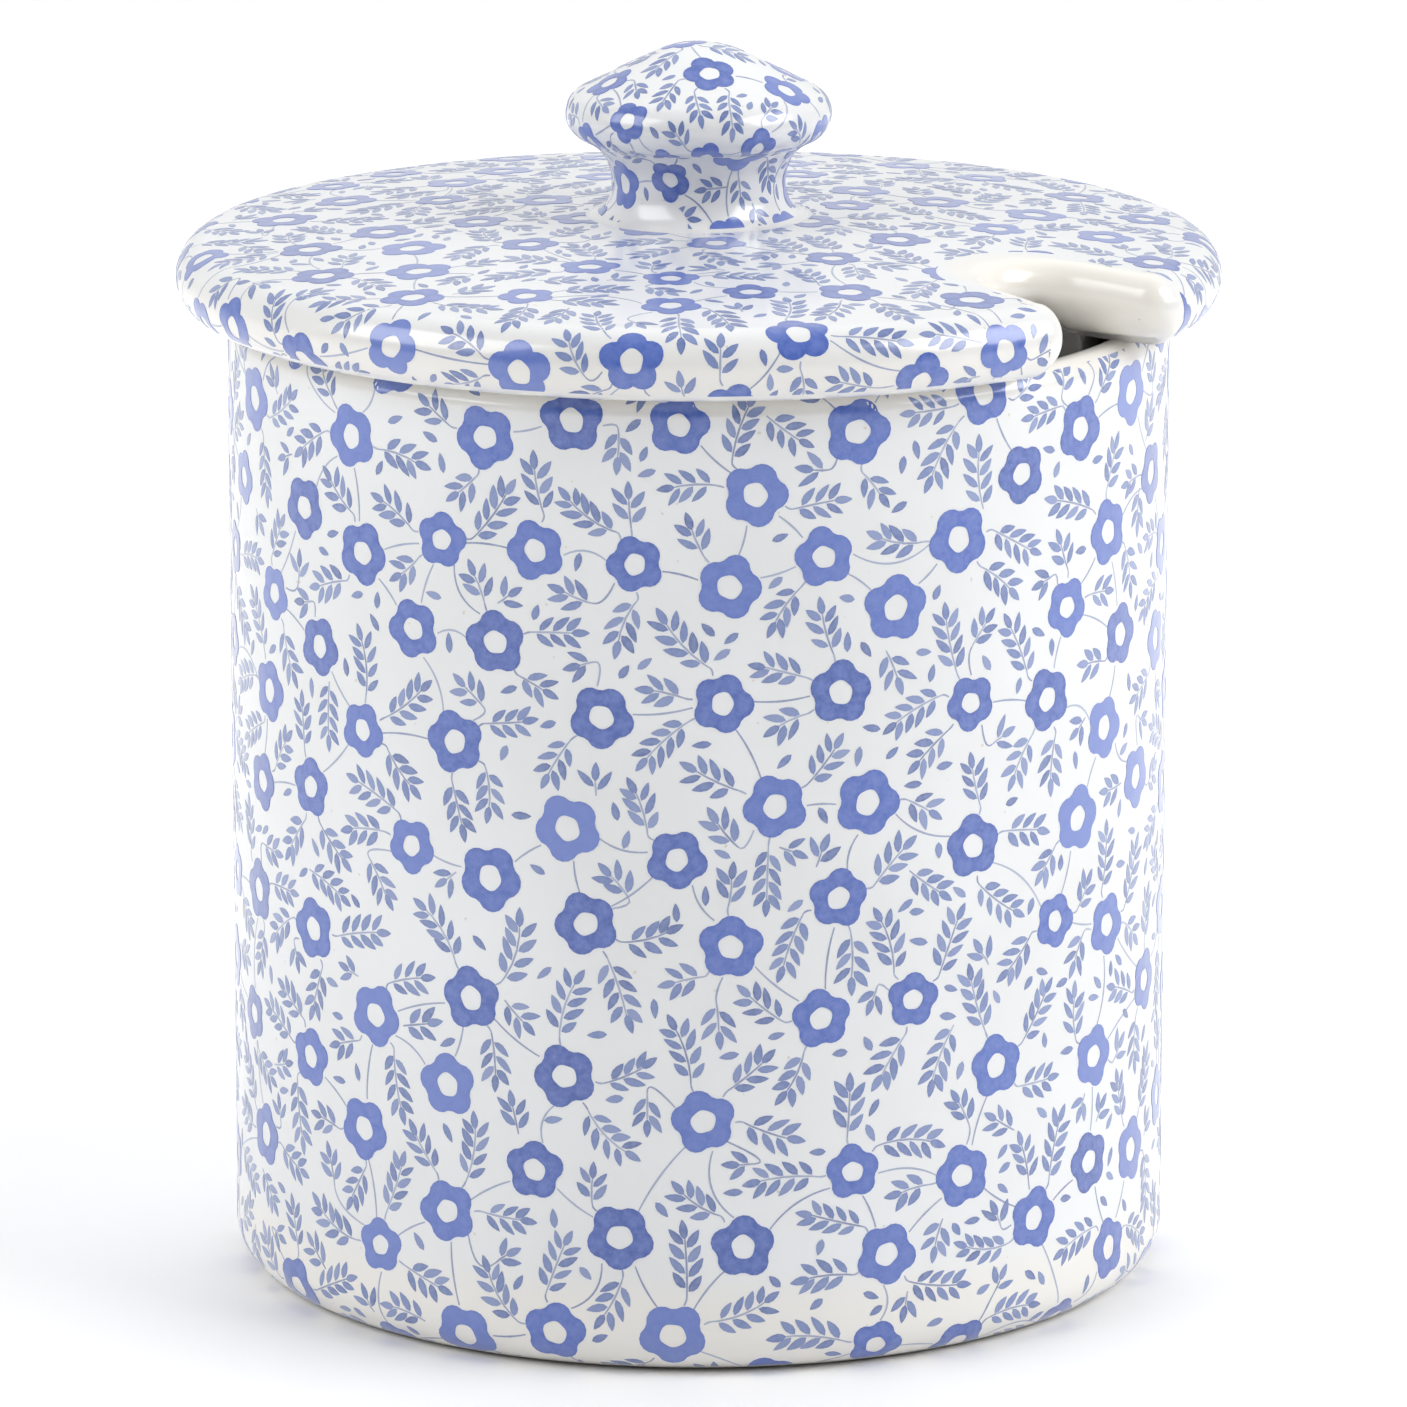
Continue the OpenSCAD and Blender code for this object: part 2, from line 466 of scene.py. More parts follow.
def notch_side():
    """Half of the lid's edge seen from above, from the notch's inner end round to -X: points, the direction
    into the clay at each, and how far each lies from the notch (0) towards the plain edge (1)."""
    flare = NOTCH_FLARE
    corner_turn = flare + math.asin(
        (NOTCH_CORNER + NOTCH_R - NOTCH_X * math.sin(flare)) / (LID_R - NOTCH_CORNER)
    )
    corner = (LID_R - NOTCH_CORNER) * np.array([math.cos(corner_turn), math.sin(corner_turn)])
    end = np.linspace(math.pi, math.pi / 2 + flare, 36)
    end_way = -np.stack([-np.cos(end), -np.sin(end)], axis=1)
    end_line = np.array([NOTCH_X, 0]) + NOTCH_R * end_way
    bend = np.linspace(flare - math.pi / 2, corner_turn, 22)
    bend_way = -np.stack([np.cos(bend), np.sin(bend)], axis=1)
    bend_line = corner - NOTCH_CORNER * bend_way
    wall = finer(np.array([end_line[-1], bend_line[0]]), 0.4)[1:-1]
    wall_way = np.broadcast_to([-math.sin(flare), math.cos(flare)], wall.shape)
    rim = np.linspace(corner_turn, math.pi, 300)[1:]
    rim_way = -np.stack([np.cos(rim), np.sin(rim)], axis=1)
    points = np.concatenate([end_line, wall, bend_line, -LID_R * rim_way])
    ways = np.concatenate([end_way, wall_way, bend_way, rim_way])
    parts = [np.zeros(len(end) + len(wall)), np.linspace(0, 1, len(bend)), np.ones(len(rim))]
    return points, ways, np.concatenate(parts)


def lid_edge():
    """The whole edge of the lid as one closed loop: both halves of notch_side."""
    points, ways, plain = notch_side()
    flip = np.array([1, -1])
    back = slice(len(points) - 2, 0, -1)
    return (
        np.concatenate([points, points[back] * flip]),
        np.concatenate([ways, ways[back] * flip]),
        np.concatenate([plain, plain[back]]),
    )


def notch_distance(x, y):
    """Distance from the notch's edge, about: positive on the clay."""
    side = -math.sin(NOTCH_FLARE) * (x - NOTCH_X) + math.cos(NOTCH_FLARE) * np.abs(y) - NOTCH_R
    end = np.hypot(x - NOTCH_X, y) - NOTCH_R
    return np.where(x < NOTCH_X - NOTCH_R * math.sin(NOTCH_FLARE), end, side)


def plate_under(r, eased=0.0):
    """Height of the lid's underside without its flange: flat over the rim and hollow inside the flange. It is
    eased upwards along the notch, whose lower edge is sponged away."""
    flat = UNDER_Z + NOTCH_EASE * eased
    return flat + (dome(r) - PLATE - flat) * (1 - smooth(FLANGE_IN - 0.6, FLANGE_OUT, r))


def lid_rows():
    """The lid's grid, row by row, as (points, how much the glaze pools there, which also sets the painted
    brightening).
    """
    edge, way, plain = lid_edge()
    lip = NOTCH_LIP + (ROLL - NOTCH_LIP) * smooth(0, 1, plain)
    inset = edge + way * lip[:, None]
    reach = np.linalg.norm(inset, axis=1)
    half = len(edge) // 2 + 1
    turn = np.maximum.accumulate(np.arctan2(inset[:half, 1], inset[:half, 0]))
    run = np.concatenate([[0], np.cumsum(np.linalg.norm(np.diff(edge[:half], axis=0), axis=1))])
    turn, even = (np.concatenate([a, -a[-2:0:-1]]) for a in (turn, math.pi * run / run[-1]))
    near_notch = 1 - smooth(0.2, 1, plain)
    middle = (dome(np.minimum(reach, LID_R - ROLL)) + plate_under(reach, near_notch)) / 2
    rows = []

    def lifted(flat, z, pool_and_painted_light):
        wave = lid_wave(flat[:, 0], flat[:, 1])
        rows.append((np.column_stack([flat, z + wave]), pool_and_painted_light))

    def from_roll(angle, top):
        flat = edge + way * (lip * (1 - math.cos(angle)))[:, None]
        r = np.linalg.norm(flat, axis=1)
        level = dome(np.minimum(r, LID_R - ROLL)) if top else plate_under(np.minimum(r, reach), near_notch)
        return flat, middle + (level - middle) * math.sin(angle)

    def placed(r):
        """Points that far from the axis: on each column's own ray near the edge, and evenly spread inside."""
        angle = turn + (even - turn) * smooth(0, 0.5, 1 - r / reach)
        return np.stack([r * np.cos(angle), r * np.sin(angle)], axis=1)

    def inward(radius, step):
        r = np.minimum(radius, reach - step)
        return placed(r), r

    # Along the notch the glaze pools fully, and the pooled colour is painted lighter there, standing in for
    # light on the notch's lips and wall.
    for angle in np.radians(np.linspace(90, 0, 15)):
        flat, z = from_roll(angle, True)
        lifted(flat, z, np.maximum(near_notch, 0.5 * (1 - math.sin(angle))))
    for angle in np.radians(np.linspace(0, 90, 13)[1:]):
        flat, z = from_roll(angle, False)
        lifted(flat, z, np.maximum(near_notch, 0.55))
    bottom = UNDER_Z - FLANGE_H
    steps = [
        (FLANGE_OUT + 2.2, None),
        (FLANGE_OUT + 0.5, UNDER_Z),
        (FLANGE_OUT + 0.12, UNDER_Z - 0.12),
        (FLANGE_OUT, UNDER_Z - 0.6),
        (FLANGE_OUT, bottom + 3.0),
        (FLANGE_OUT, bottom + 1.1),
        (FLANGE_OUT - 0.35, bottom + 0.35),
        (FLANGE_OUT - 1.1, bottom),
        (FLANGE_IN + 1.1, bottom),
        (FLANGE_IN + 0.35, bottom + 0.35),
        (FLANGE_IN, bottom + 1.1),
        (FLANGE_IN, bottom + 4.0),
        (FLANGE_IN - 0.05, UNDER_Z + 0.9),
        (FLANGE_IN - 0.45, UNDER_Z + 2.1),
        (FLANGE_IN - 1.5, None),
    ]
    for i, (radius, z) in enumerate(steps):
        flat, r = inward(radius, 0.12 * (i + 1))
        level = plate_under(r, near_notch * (1 - i / len(steps)))
        if z is not None:
            flange = smooth(2.6, 6.5, notch_distance(flat[:, 0], flat[:, 1])) * smooth(-0.6, 0, r - radius)
            level = level + (z - level) * flange
        lifted(flat, level, 0.25)
    for radius in np.linspace(FLANGE_IN - 4, VENT_R, 12):
        flat, r = inward(radius, 2.0)
        lifted(flat, plate_under(r), 0.15)
    lifted(flat, dome(r), 0.15)
    flat, r = inward(CROWN_R, 0.7)
    lifted(flat, dome(r), 0)
    # The pooled glaze, painted lighter, reaches onto the dome beside the notch.
    for t in np.linspace(0, 1, 30)[1:-1]:
        r = CROWN_R + (reach - CROWN_R) * t
        lifted(placed(r), dome(r), near_notch * smooth(0.82, 1, t))
    return rows


def make_lid(material):
    """The lid: domed plate, rolled edge, rounded notch, flange and vent, as one closed grid."""
    rows = lid_rows()
    points = np.concatenate([p for p, _ in rows])
    # How much the glaze pools, which also sets where it is painted lighter.
    pool_and_painted_light = np.concatenate([np.broadcast_to(v, len(rows[0][0])) for _, v in rows])
    columns = len(rows[0][0])
    faces = grid_faces(len(rows), columns)
    last = (len(rows) - 1) * columns + np.arange(columns)
    first = np.arange(columns)
    close = np.stack([last, np.roll(last, -1), np.roll(first, -1), first], axis=-1)
    lid = clean_mesh("lid_body", points, np.concatenate([faces, close]), [("pool_and_painted_light", pool_and_painted_light)])
    lid.data.materials.append(material)
    return lid


def make_stilt_marks(name, material, radius, level, depth=0.25):
    """Three small rough patches of bare clay, where the pot stood on stilts in the kiln."""
    rng = random.Random(f"{SEED} {name}")
    points, faces = [], []
    rings, n = 5, 22
    for turn in (TAU / 6, TAU / 2, 5 * TAU / 6):
        centre = np.array([radius * math.cos(turn), radius * math.sin(turn)])
        size, phase = rng.uniform(0.8, 1.15), rng.uniform(0, TAU)
        start = len(points)
        for flip in (1, -1):
            points.append((*centre, level + (0 if flip > 0 else depth)))
            for k in range(1, rings + 1):
                for j in range(n):
                    angle = TAU * j / n
                    uneven = 1 + 0.1 * math.sin(3 * angle + phase) + 0.06 * math.sin(5 * angle)
                    r = size * k / rings * uneven
                    x, y = centre + r * np.array([math.cos(angle), math.sin(angle)])
                    sunk = STILT * 0.9 * (k / rings) ** 3 + rng.uniform(0, 0.006)
                    points.append((x, y, level + (sunk if flip > 0 else depth)))
        half = 1 + rings * n
        for base, order in ((start, 1), (start + half, -1)):
            for j in range(n):
                after = (j + 1) % n
                faces.append([base, base + 1 + after, base + 1 + j][::order])
                for k in range(rings - 1):
                    a, b = base + 1 + k * n, base + 1 + (k + 1) * n
                    faces.append([a + j, a + after, b + after, b + j][::order])
        low, high = start + 1 + (rings - 1) * n, start + half + 1 + (rings - 1) * n
        faces += [[low + j, low + (j + 1) % n, high + (j + 1) % n, high + j] for j in range(n)]
    marks = clean_mesh(name, np.array(points), faces)
    marks.data.materials.append(material)
    return marks


# -------- surfaces that carry the print


class Turned:
    """A turned surface that a flat sheet is laid on. A point of the sheet is (across, along): along is the
    distance along the outline, and across is the distance round the surface at the wrap radius. Without a
    wrap radius the sheet is a flat disc instead, with the outline running out from its centre."""

    def __init__(self, line, wrap=None, shift=None, lift=None):
        self.line = line
        self.wrap = wrap
        self.shift = shift
        self.lift = lift
        self.along = np.concatenate([[0], np.cumsum(np.linalg.norm(np.diff(line, axis=0), axis=1))])
        slope = np.gradient(line, self.along, axis=0)
        self.way = slope / np.linalg.norm(slope, axis=1)[:, None]

    def lay(self, sheet):
        """Where those points of the sheet lie on the clay, and the outward normal there."""
        if self.wrap:
            along, turn = sheet[:, 1], sheet[:, 0] / self.wrap
        else:
            along, turn = np.hypot(sheet[:, 0], sheet[:, 1]), np.arctan2(sheet[:, 1], sheet[:, 0])
        r, z, dr, dz = (
            np.interp(along, self.along, v)
            for v in (self.line[:, 0], self.line[:, 1], self.way[:, 0], self.way[:, 1])
        )
        if self.shift:
            r = r + self.shift(turn, z)
        c, s = np.cos(turn), np.sin(turn)
        if self.lift:
            z = z + self.lift(r * c, r * s)
        side = 1 if self.wrap else -1
        normal = np.stack([side * dz * c, side * dz * s, -side * dr], axis=1)
        normal /= np.linalg.norm(normal, axis=1)[:, None]
        return np.stack([r * c, r * s, z], axis=1), normal


# -------- the printed sheet


class Sheet:
    """A flat sheet of print that remembers where there is ink, so that motifs don't overlap. It is laid out
    larger than the part that is used: clear(points) says how far inside its cut edge each point lies."""

    def __init__(self, low, high, clear, wraps=False):
        self.low = np.array(low, float)
        self.span = np.array(high, float) - self.low
        self.count = np.ceil(self.span / SHEET_CELL).astype(int)
        self.full = np.zeros(self.count, bool)
        self.clear = clear
        self.wraps = wraps

    def anywhere(self, rng):
        return self.low + self.span * np.array([rng.random(), rng.random()])

    def cells(self, points):
        i = np.floor((points - self.low) / SHEET_CELL).astype(int)
        if self.wraps:
            i[:, 0] %= self.count[0]
        inside = ((i >= 0) & (i < self.count)).all(axis=1)
        return i, inside

    def free(self, points):
        i, inside = self.cells(points)
        return bool(inside.all()) and not self.full[i[:, 0], i[:, 1]].any()

    def offsets(self, places, point):
        """The way from a point to each place, the short way round where the sheet wraps."""
        off = places - point
        if self.wraps:
            off[:, 0] -= self.span[0] * np.round(off[:, 0] / self.span[0])
        return off

    def inked(self, points):
        """The share of the points that lie on ink or off the sheet."""
        i, inside = self.cells(points)
        i = i[inside]
        return 1 - (len(i) - self.full[i[:, 0], i[:, 1]].sum()) / max(1, len(points))

    def take(self, points, margin=1):
        i, inside = self.cells(points)
        i = i[inside]
        reach = range(-margin, margin + 1)
        for dx in reach:
            for dy in reach:
                x, y = i[:, 0] + dx, i[:, 1] + dy
                if self.wraps:
                    x = x % self.count[0]
                fits = (x >= 0) & (x < self.count[0]) & (y >= 0) & (y < self.count[1])
                self.full[x[fits], y[fits]] = True


def heading(angle):
    return np.array([math.cos(angle), math.sin(angle)])


def facing(angle):
    """The two axes of a motif that is turned to that angle."""
    return np.array([heading(angle), heading(angle + math.pi / 2)])


def petal_reach(angle, size):
    """How far a five-petalled flower reaches at that angle: five circles set round its centre."""
    out, lobe = 0.54 * size, 0.46 * size
    off = (angle + math.pi / 5) % (TAU / 5) - math.pi / 5
    return out * np.cos(off) + np.sqrt(lobe**2 - (out * np.sin(off)) ** 2)


LEAF_STATIONS = np.array([0.0, 0.18, 0.42, 0.68, 0.88, 1.0])


def leaf_half(t):
    """Half the width of an almond leaf, as a share of its full width, along its length."""
    return 0.5 * np.sin(np.pi * t**0.82) ** 0.8


def leaf_points(base, angle, length, width, bend):
    """Points of a leaf that grows from base at that angle and bends a little: its base, its tip, and then the
    lower edge, midrib and upper edge at each station."""
    t = LEAF_STATIONS[1:-1]
    half = leaf_half(t) * width
    middle = bend * length * t * t
    rows = [np.stack([t * length, middle + side * half], axis=1) for side in (-1, 0, 1)]
    flat = np.concatenate([[[0, 0], [length, bend * length]], np.stack(rows, axis=1).reshape(-1, 2)])
    return base + flat @ facing(angle)


def leaf_fill(base, angle, length, width):
    """Points all over a leaf, to test and to mark the sheet with."""
    t = np.linspace(0.03, 0.97, 9)
    half = leaf_half(t) * width
    rows = [np.stack([t * length, half * k], axis=1) for k in (-0.9, 0, 0.9)]
    return base + np.concatenate(rows) @ facing(angle)


def plan_sprig(rng, base, angle, pairs, scale):
    """A sprig: its spine and its leaves, as (base, angle, length, width, bend)."""
    step = SPRIG_STEP * scale
    bend = rng.uniform(-0.12, 0.12)
    point, way = np.array(base, float), angle
    spine, leaves = [point.copy()], []
    spreads = {side: rng.uniform(0.72, 0.92) for side in (-1, 1)}
    for i in range(pairs):
        point = point + heading(way) * (step if i else 0.6 * scale)
        way += bend * step
        spine.append(point.copy())
        grown = LEAF_LENGTH * scale * (0.84 + 0.2 * math.sin(math.pi * (i + 0.8) / (pairs + 0.6)))
        for side in (-1, 1):
            spread = side * (spreads[side] + rng.uniform(-0.04, 0.04))
            start = point + heading(way + spread) * 0.2 + heading(way) * (0.16 * side * scale)
            size = grown * rng.uniform(0.9, 1.06)
            width = LEAF_WIDTH * scale * rng.uniform(0.88, 1.1)
            leaves.append((start, way + spread, size, width, -0.1 * side))
    tip = point + heading(way) * (step * 0.55)
    spine.append(tip.copy())
    leaves.append((tip, way + rng.uniform(-0.12, 0.12), LEAF_LENGTH * scale * 0.88, LEAF_WIDTH * scale, 0.0))
    return np.array(spine), leaves


def scatter_flowers(rng, sheet, gap, size, tries):
    """Flowers spread over the sheet so that none is nearer to another than the gap."""
    flowers = []
    for _ in range(tries):
        at = sheet.anywhere(rng)
        radius = size * rng.choice((0.88, 0.94, 1.0, 1.0, 1.05))
        if sheet.clear(at[None])[0] < -0.7 * radius:
            continue
        if flowers:
            others = sheet.offsets(np.array([f[0] for f in flowers]), at)
            if (others**2).sum(axis=1).min() < gap**2:
                continue
        flowers.append((at, radius, rng.uniform(0, TAU / 5)))
    ring = np.linspace(0, TAU, 60)[:-1]
    circle = np.stack([np.cos(ring), np.sin(ring)], axis=1)
    for at, radius, _ in flowers:
        for share in np.linspace(0.1, 1.0, 12):
            sheet.take(at + share * radius * circle, 2)
    return flowers


def has_room(sheet, base, angle, pairs, scale):
    """A quick test along a sprig's spine and beside it, before its leaves are worked out."""
    length = (0.6 + (pairs - 0.4) * SPRIG_STEP + 0.85 * LEAF_LENGTH) * scale
    spine = np.linspace(0.1, 1, 5)[:, None] * length * heading(angle)
    side = heading(angle + math.pi / 2) * 0.45 * LEAF_LENGTH
    return sheet.free(base + np.concatenate([spine, spine[1:4] + side, spine[1:4] - side]))


def grow_sprigs(rng, sheet, flowers, scale, tries):
    """Sprigs on the flowers first, then in the gaps, the large ones before the small ones."""
    sprigs = []

    def place(base, angle, pairs, rooted):
        size = scale * rng.uniform(0.92, 1.06)
        if not has_room(sheet, base, angle, pairs, size):
            return False
        spine, leaves = plan_sprig(rng, base, angle, pairs, size)
        fill = np.concatenate([leaf_fill(*leaf[:4]) for leaf in leaves] + [finer(spine, 0.25)])
        if not sheet.free(fill):
            return False
        sheet.take(fill, 1)
        sprigs.append((spine, leaves, rooted))
        return True

    for at, radius, _ in flowers:
        grown = 0
        for attempt in range(60):
            if grown >= 3:
                break
            angle = rng.uniform(0, TAU)
            base = at + heading(angle) * (radius + 0.7)
            pairs = rng.choice((4, 4, 3)) if attempt < 40 else rng.choice((3, 2))
            grown += place(base, angle + rng.uniform(-0.8, 0.8), pairs, True)
    for pairs, share in ((4, 1.0), (3, 1.0), (2, 1.2), (1, 0.8)):
        for _ in range(int(tries * share)):
            base = sheet.anywhere(rng)
            if sheet.clear(base[None])[0] > -3:
                place(base, rng.uniform(0, TAU), pairs, False)
    return sprigs


def grow_loose_leaves(rng, sheet, scale, tries):
    """Single leaves in the smallest gaps."""
    leaves = []
    for _ in range(tries):
        base = sheet.anywhere(rng)
        angle, length = rng.uniform(0, TAU), LEAF_LENGTH * scale * rng.uniform(0.72, 0.95)
        fill = leaf_fill(base, angle, length, LEAF_WIDTH * scale * 1.2)
        if sheet.free(fill):
            sheet.take(fill, 1)
            leaves.append((base, angle, length, LEAF_WIDTH * scale * rng.uniform(0.85, 1), 0.0))
    return leaves


def bowed(start, end, bow):
    """A line from start to end that bows to one side by that share of its length."""
    t = np.linspace(0, 1, max(4, int(np.linalg.norm(end - start) / 0.55) + 1))[:, None]
    across = np.array([start[1] - end[1], end[0] - start[0]])
    return start + (end - start) * t + across * bow * 4 * t * (1 - t)


def trailed(start, way, end, pull):
    """A line from start to end that carries on smoothly from a sprig that grows from start along way."""
    t = np.linspace(0, 1, max(4, int(np.linalg.norm(end - start) / 0.4) + 1))[:, None]
    turn = start - way * pull * np.linalg.norm(end - start)
    return start * (1 - t) ** 2 + turn * 2 * t * (1 - t) + end * t**2


def least_inked(sheet, lines, most):
    """The line that crosses the least ink, or None if all cross too much."""
    best = min(lines, key=lambda line: sheet.inked(line[1:-1]))
    return best if sheet.inked(best[1:-1]) <= most else None


def draw_stems(rng, sheet, flowers, sprigs):
    """Thin stems: every sprig's spine, a line from its base to the nearest flower, and links between
    flowers."""
    stems = [spine for spine, _, _ in sprigs]
    centres = np.array([f[0] for f in flowers])
    radii = np.array([f[1] for f in flowers])
    for spine, _, rooted in sprigs:
        off = sheet.offsets(centres, spine[0])
        far = np.linalg.norm(off, axis=1)
        i = int(np.argmin(far))
        end = spine[0] + off[i] * (1 - radii[i] * 0.97 / far[i])
        way = (spine[1] - spine[0]) / np.linalg.norm(spine[1] - spine[0])
        lines = [trailed(spine[0], way, end, pull) for pull in (0.4, 0.55, 0.75)]
        line = lines[0] if rooted else least_inked(sheet, lines, 0.3)
        if line is not None:
            stems.append(line)
            sheet.take(line, 1)
    linked = set()
    for k, at in enumerate(centres):
        off = sheet.offsets(centres, at)
        far = np.linalg.norm(off, axis=1)
        for i in np.argsort(far)[1:4]:
            pair = (min(i, k), max(i, k))
            if far[i] > 2.1 * FLOWER_GAP or pair in linked or rng.random() < 0.2:
                continue
            linked.add(pair)
            way = off[i] / far[i]
            start, end = at + way * radii[k] * 0.97, at + off[i] - way * radii[i] * 0.97
            lines = [bowed(start, end, bow) for bow in (0.04, -0.04, 0.1, -0.1, 0.17, -0.17)]
            line = least_inked(sheet, lines, 0.22)
            if line is not None:
                stems.append(line)
                sheet.take(line, 1)
    return stems


# -------- print as thin slabs


def cut_off(points, faces, clear):
    """The faces with all that lies outside the sheet's edge cut away. The points carry (x, y, heart)."""
    inside = clear(points[:, :2])
    if (inside > 0).all():
        return points, faces
    points, cuts, kept_faces = list(points), {}, []

    def crossing(a, b):
        key = (min(a, b), max(a, b))
        if key not in cuts:
            cuts[key] = len(points)
            points.append(points[a] + inside[a] / (inside[a] - inside[b]) * (points[b] - points[a]))
        return cuts[key]

    for face in faces:
        kept = []
        for a, b in zip(face, [*face[1:], face[0]]):
            if inside[a] > 0:
                kept.append(a)
            if (inside[a] > 0) != (inside[b] > 0):
                kept.append(crossing(a, b))
        if len(kept) > 2:
            kept_faces.append(kept)
    used = sorted({i for face in kept_faces for i in face})
    place = {old: new for new, old in enumerate(used)}
    return np.array([points[i] for i in used]), [[place[i] for i in face] for face in kept_faces]


class Slabs:
    """Many thin closed slabs on one sheet. Each is added flat, as points and faces, and cut at the sheet's
    edge."""

    def __init__(self, clear):
        self.clear = clear
        self.points, self.faces, self.rims, self.tone = [], [], [], []
        self.total = 0

    def add(self, points, faces, tone, heart):
        faces = [list(map(int, face)) for face in faces]
        points, faces = cut_off(np.column_stack([points, heart]), faces, self.clear)
        if not faces:
            return
        edges = [(a, b) for face in faces for a, b in zip(face, [*face[1:], face[0]])]
        known = set(edges)
        self.rims += [(self.total + a, self.total + b) for a, b in edges if (b, a) not in known]
        self.faces += [[self.total + i for i in face] for face in faces]
        self.points.append(points)
        self.tone.append(np.full(len(points), tone))
        self.total += len(points)

    def build(self, name, surface, proud, material):
        """The slabs as one mesh, standing proud of the clay and sunk a little into it."""
        flat = np.concatenate(self.points)
        place, normal = surface.lay(flat[:, :2])
        points = np.concatenate([place + normal * proud, place - normal * INK_SINK])
        n = self.total
        under = [[i + n for i in reversed(face)] for face in self.faces]
        sides = [[b, a, a + n, b + n] for a, b in self.rims]
        mesh = bpy.data.meshes.new(name)
        mesh.from_pydata((points * MM).tolist(), [], self.faces + under + sides)
        for key, value in (("tone", np.concatenate(self.tone)), ("heart", flat[:, 2])):
            value = np.tile(value, 2).astype(np.float32)
            mesh.attributes.new(key, "FLOAT", "POINT").data.foreach_set("value", value)
        mesh.shade_smooth()
        mesh.set_sharp_from_angle(angle=math.radians(40))
        mesh.materials.append(material)
        return add_object(name, mesh)


def flower_slab(slabs, rng, at, radius, turn, per_petal, bands):
    """A ring of five petals round a clear eye, with rows of points from the eye out to the petals' edge."""
    n = 5 * per_petal
    angle = np.arange(n) * TAU / n
    edge = petal_reach(angle, radius) * (1 + 0.025 * np.sin(3 * angle + rng.uniform(0, TAU)))
    eye = radius * (0.37 + 0.012 * np.cos(5 * angle) + 0.02 * np.sin(2 * angle + rng.uniform(0, TAU)))
    way = np.stack([np.cos(angle + turn), np.sin(angle + turn)], axis=1)
    share = np.linspace(0, 1, bands + 1)
    points = np.concatenate([at + way * (eye + (edge - eye) * s)[:, None] for s in share])
    heart = np.concatenate([np.full(n, math.sin(math.pi * s) ** 1.5) for s in share])
    heart *= np.tile(0.55 + 0.45 * np.cos(5 * angle), bands + 1)
    here = np.arange(n)
    following = (here + 1) % n
    faces = []
    for b in range(0, bands * n, n):
        faces += np.stack([b + here, b + n + here, b + n + following, b + following], 1).tolist()
    slabs.add(points, faces, rng.betavariate(2.4, 1.8), heart)


def leaf_slab(slabs, rng, leaf):
    """One leaf, in two strips that meet at its midrib."""
    first = np.arange(len(LEAF_STATIONS) - 2) * 3 + 2
    faces = [[0, first[0], first[0] + 1], [0, first[0] + 1, first[0] + 2]]
    for a, b in zip(first[:-1], first[1:]):
        faces += [[a, b, b + 1, a + 1], [a + 1, b + 1, b + 2, a + 2]]
    faces += [[first[-1], 1, first[-1] + 1], [first[-1] + 1, 1, first[-1] + 2]]
    points = leaf_points(*leaf)
    rib = np.zeros(len(points))
    rib[first + 1] = 0.7
    slabs.add(points, faces, rng.betavariate(2.0, 2.2), rib)


def stem_slab(slabs, rng, line, width):
    """One thin stem as a ribbon that tapers at both ends."""
    way = np.gradient(line, axis=0)
    way /= np.maximum(np.linalg.norm(way, axis=1), 1e-9)[:, None]
    across = np.stack([-way[:, 1], way[:, 0]], axis=1)
    t = np.linspace(0, 1, len(line))
    half = width * (0.5 - 0.16 * np.abs(2 * t - 1))[:, None]
    n = len(line)
    points = np.concatenate([line - across * half, line + across * half])
    faces = [[i, i + 1, n + i + 1, n + i] for i in range(n - 1)]
    slabs.add(points, faces, rng.betavariate(1.6, 3.0), np.zeros(2 * n))


def print_on(name, body, surface, sheet, inks, scale, gap, tries, fine):
    """Lays out one sheet of print and turns it into one piece for each kind of motif, riding on a body."""
    rng = random.Random(f"{SEED} {name}")
    per_petal, bands, stem_step = fine
    flowers = scatter_flowers(rng, sheet, gap, FLOWER_R * scale, tries // 2)
    sprigs = grow_sprigs(rng, sheet, flowers, scale, tries)
    loose = grow_loose_leaves(rng, sheet, scale, tries // 2)
    stems = draw_stems(rng, sheet, flowers, sprigs)
    slabs = {kind: Slabs(sheet.clear) for kind in INK_PROUD}
    for at, radius, turn in flowers:
        flower_slab(slabs["flowers"], rng, at, radius, turn, per_petal, bands)
    for _, leaves, _ in sprigs:
        for leaf in leaves:
            leaf_slab(slabs["leaves"], rng, leaf)
    for leaf in loose:
        leaf_slab(slabs["loose_leaves"], rng, leaf)
    for line in stems:
        stem_slab(slabs["stems"], rng, finer(line, stem_step), STEM_WIDTH)
    for kind, slab in slabs.items():
        if slab.total:
            piece = slab.build(f"{name}_print_{kind}", surface, INK_PROUD[kind], inks[kind])
            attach(piece, body)


def print_jar(inks):
    """The jar's wall, from just above the foot ring to well up the rounding of the rim."""
    surface = Turned(finer(jar_outside(), 1.0), wrap=JAR_R, shift=jar_shift)
    low, high = 2.3, surface.along[-1] - 1.3

    def clear(points):
        return np.minimum(points[:, 1] - low, high - points[:, 1])

    sheet = Sheet((0, low - SPARE), (TAU * JAR_R, high + SPARE), clear, wraps=True)
    print_on("jar", "jar", surface, sheet, inks, 1.0, FLOWER_GAP, tries=12000, fine=JAR_FINE)


